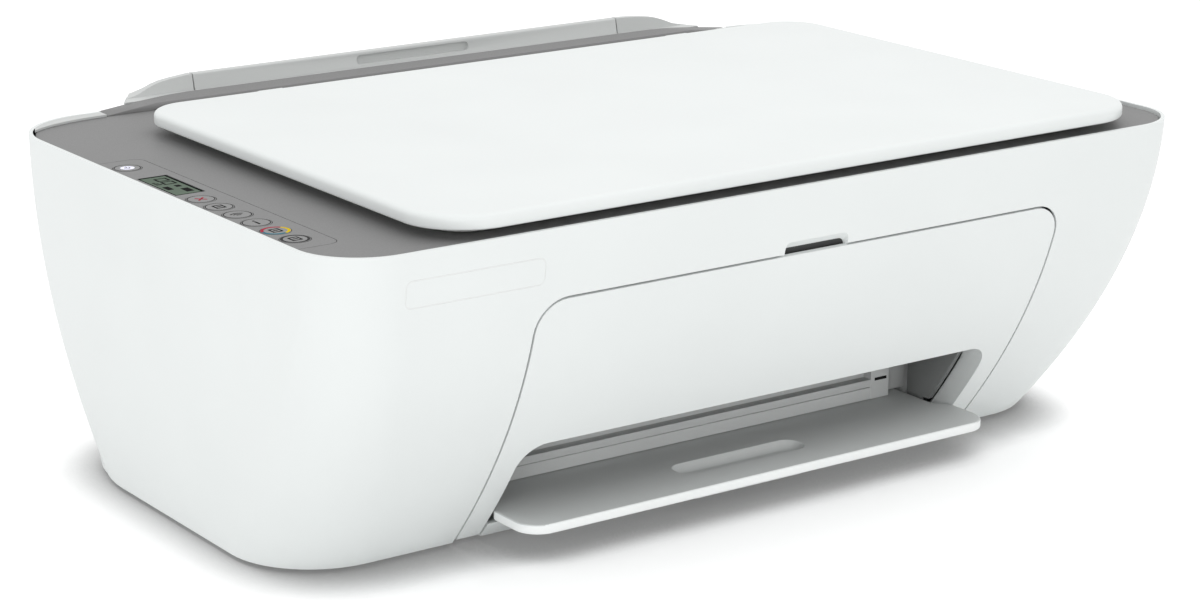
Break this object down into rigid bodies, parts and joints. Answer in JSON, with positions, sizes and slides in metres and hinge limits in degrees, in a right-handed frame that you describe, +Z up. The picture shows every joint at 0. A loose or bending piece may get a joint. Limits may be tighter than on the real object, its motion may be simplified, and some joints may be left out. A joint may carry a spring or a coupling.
{
  "type": "inkjet printer",
  "caption": "Compact all-in-one inkjet printer with a tapering white body, flatbed scanner lid, side control strip, front ink door, paper outlet with tray and rear paper support.",
  "frame": {"origin": "middle of the bounding box at floor level", "axes": "+X to the right seen from the front, -Y towards the user, +Z up"},
  "size_m": [0.425, 0.304, 0.153],
  "materials": {
    "white_plastic": "fine satin",
    "grey_plastic": "satin",
    "light_grey_plastic": "satin",
    "tray_plastic": "satin",
    "black_plastic": "satin",
    "dark_grey_plastic": "satin",
    "button_plastic": "semi gloss",
    "screen": "gloss",
    "pad_foam": "soft",
    "steel": "plain",
    "zinc_sheet": "plain",
    "rubber": "matte",
    "glass": "clear",
    "board": "semi gloss",
    "gear_plastic": "satin",
    "felt": "matte",
    "film": "gloss"
  },
  "bodies": {
    "printer": {"outer_shell": "white_plastic", "base_pan": "white_plastic", "rubber_feet": "rubber", "top_deck": "grey_plastic", "control_panel": "grey_plastic", "display": "screen", "control_board": "board", "hinge_blocks": "grey_plastic", "scanner_tub": "dark_grey_plastic", "platen_glass": "glass", "scan_rail": "steel", "slot_cover": "grey_plastic", "rear_cover": "white_plastic", "left_wing": "light_grey_plastic", "right_wing": "light_grey_plastic", "hopper_bed": "dark_grey_plastic", "chassis_beam": "zinc_sheet", "side_plates": "zinc_sheet", "chassis_screws": "steel", "carriage_rod": "steel", "carriage_belt": "rubber", "carriage_motor": "steel", "encoder_strip": "film", "platen": "light_grey_plastic", "feed_motor": "steel", "star_wheel_bar": "black_plastic", "main_board": "board", "power_supply": "dark_grey_plastic", "power_inlet": "black_plastic", "usb_socket": "black_plastic", "service_station": "dark_grey_plastic", "absorber_pad": "felt"},
    "lid": {"scanner_lid": "white_plastic", "lid_pad": "pad_foam"},
    "door": {"front_door": "white_plastic"},
    "tray": {"output_tray": "tray_plastic"},
    "support": {"paper_support": "light_grey_plastic"},
    "left_guide": {"left_width_guide": "light_grey_plastic"},
    "right_guide": {"right_width_guide": "light_grey_plastic"},
    "print_carriage": {"carriage": "black_plastic", "ink_cartridges": "black_plastic"},
    "drive_pulley": {"motor_pulley": "gear_plastic"},
    "tail_pulley": {"idler_pulley": "gear_plastic"},
    "scanner_bar": {"scan_bar": "black_plastic"},
    "feed": {"feed_roller": "steel"},
    "exit": {"exit_roller": "rubber"},
    "rear_gear": {"rear_transfer_gear": "gear_plastic"},
    "middle_gear": {"middle_transfer_gear": "gear_plastic"},
    "front_gear": {"front_transfer_gear": "gear_plastic"},
    "pinion": {"motor_pinion": "gear_plastic"},
    "pinch": {"pinch_rollers": "black_plastic"},
    "stars": {"star_wheels": "steel"},
    "pick": {"pick_roller": "rubber"},
    "power_button_cap": {"power_button": "button_plastic"},
    "cancel_button_cap": {"cancel_button": "button_plastic"},
    "resume_button_cap": {"resume_button": "button_plastic"},
    "wireless_button_cap": {"wireless_button": "button_plastic"},
    "information_button_cap": {"information_button": "button_plastic"},
    "colour_copy_button_cap": {"colour_copy_button": "button_plastic"},
    "black_copy_button_cap": {"black_copy_button": "button_plastic"}
  },
  "joints": [
    {"name": "lid_hinge", "type": "hinge", "parent": "printer", "child": "lid", "pos_m": [0.01125, 0.097, 0.148], "axis": [-1, 0, 0], "range_deg": [0, 85]},
    {"name": "door_hinge", "type": "hinge", "parent": "printer", "child": "door", "pos_m": [0.0088, -0.08252, 0.007], "axis": [1, 0, 0], "range_deg": [0, 35]},
    {"name": "tray_slide", "type": "slide", "parent": "printer", "child": "tray", "axis": [0, -1, 0], "range_m": [0, 0.07]},
    {"name": "support_slide", "type": "slide", "parent": "printer", "child": "support", "axis": [0, 0.2079, 0.9781], "range_m": [0, 0.065]},
    {"name": "left_guide_slide", "type": "slide", "parent": "printer", "child": "left_guide", "axis": [1, 0, 0], "range_m": [0, 0.05]},
    {"name": "right_guide_slide", "type": "slide", "parent": "printer", "child": "right_guide", "axis": [1, 0, 0], "range_m": [-0.05, 0]},
    {"name": "carriage_slide", "type": "slide", "parent": "printer", "child": "print_carriage", "axis": [-1, 0, 0], "range_m": [0, 0.265]},
    {"name": "drive_pulley_turn", "type": "hinge", "parent": "printer", "child": "drive_pulley", "pos_m": [0.16, 0.0362, 0.099], "axis": [0, 1, 0], "range_deg": [0, 2870]},
    {"name": "tail_pulley_turn", "type": "hinge", "parent": "printer", "child": "tail_pulley", "pos_m": [-0.16, 0.0362, 0.099], "axis": [0, 1, 0], "range_deg": [0, 2870]},
    {"name": "scan_slide", "type": "slide", "parent": "printer", "child": "scanner_bar", "axis": [1, 0, 0], "range_m": [0, 0.34]},
    {"name": "feed_turn", "type": "hinge", "parent": "printer", "child": "feed", "pos_m": [0, 0.03, 0.0236], "axis": [1, 0, 0], "continuous": true},
    {"name": "exit_turn", "type": "hinge", "parent": "printer", "child": "exit", "pos_m": [0, -0.06, 0.0236], "axis": [1, 0, 0], "continuous": true},
    {"name": "rear_gear_turn", "type": "hinge", "parent": "printer", "child": "rear_gear", "pos_m": [-0.1738, 0.006, 0.0236], "axis": [1, 0, 0], "continuous": true},
    {"name": "middle_gear_turn", "type": "hinge", "parent": "printer", "child": "middle_gear", "pos_m": [-0.1738, -0.015, 0.0236], "axis": [1, 0, 0], "continuous": true},
    {"name": "front_gear_turn", "type": "hinge", "parent": "printer", "child": "front_gear", "pos_m": [-0.1738, -0.036, 0.0236], "axis": [1, 0, 0], "continuous": true},
    {"name": "pinion_turn", "type": "hinge", "parent": "printer", "child": "pinion", "pos_m": [-0.1738, 0.03975, 0.04049], "axis": [1, 0, 0], "continuous": true},
    {"name": "pinch_turn", "type": "hinge", "parent": "printer", "child": "pinch", "pos_m": [0.0088, 0.03, 0.0336], "axis": [1, 0, 0], "continuous": true},
    {"name": "star_turn", "type": "hinge", "parent": "printer", "child": "stars", "pos_m": [0.0088, -0.06, 0.0336], "axis": [1, 0, 0], "continuous": true},
    {"name": "pick_turn", "type": "hinge", "parent": "printer", "child": "pick", "pos_m": [0.004, 0.1128, 0.088], "axis": [1, 0, 0], "continuous": true},
    {"name": "power_button_press", "type": "slide", "parent": "printer", "child": "power_button_cap", "axis": [0, 0, -1], "range_m": [0, 0.0006], "stiffness_N_per_m": 1200, "springref_m": -0.0003},
    {"name": "cancel_button_press", "type": "slide", "parent": "printer", "child": "cancel_button_cap", "axis": [0, 0, -1], "range_m": [0, 0.0006], "stiffness_N_per_m": 1200, "springref_m": -0.0003},
    {"name": "resume_button_press", "type": "slide", "parent": "printer", "child": "resume_button_cap", "axis": [0, 0, -1], "range_m": [0, 0.0006], "stiffness_N_per_m": 1200, "springref_m": -0.0003},
    {"name": "wireless_button_press", "type": "slide", "parent": "printer", "child": "wireless_button_cap", "axis": [0, 0, -1], "range_m": [0, 0.0006], "stiffness_N_per_m": 1200, "springref_m": -0.0003},
    {"name": "information_button_press", "type": "slide", "parent": "printer", "child": "information_button_cap", "axis": [0, 0, -1], "range_m": [0, 0.0006], "stiffness_N_per_m": 1200, "springref_m": -0.0003},
    {"name": "colour_copy_button_press", "type": "slide", "parent": "printer", "child": "colour_copy_button_cap", "axis": [0, 0, -1], "range_m": [0, 0.0006], "stiffness_N_per_m": 1200, "springref_m": -0.0003},
    {"name": "black_copy_button_press", "type": "slide", "parent": "printer", "child": "black_copy_button_cap", "axis": [0, 0, -1], "range_m": [0, 0.0006], "stiffness_N_per_m": 1200, "springref_m": -0.0003}
  ],
  "couplings": [
    {"joint": "right_guide_slide", "follows": "left_guide_slide", "ratio": -1},
    {"joint": "drive_pulley_turn", "follows": "carriage_slide", "rad_per_m": 188.68},
    {"joint": "tail_pulley_turn", "follows": "carriage_slide", "rad_per_m": 188.68},
    {"joint": "rear_gear_turn", "follows": "feed_turn", "ratio": -1.2857},
    {"joint": "middle_gear_turn", "follows": "feed_turn", "ratio": 1.2857},
    {"joint": "front_gear_turn", "follows": "feed_turn", "ratio": -1.2857},
    {"joint": "exit_turn", "follows": "feed_turn", "ratio": 1},
    {"joint": "pinion_turn", "follows": "feed_turn", "ratio": -2.25},
    {"joint": "pinch_turn", "follows": "feed_turn", "ratio": -2.1333},
    {"joint": "star_turn", "follows": "feed_turn", "ratio": -1.4}
  ]
}
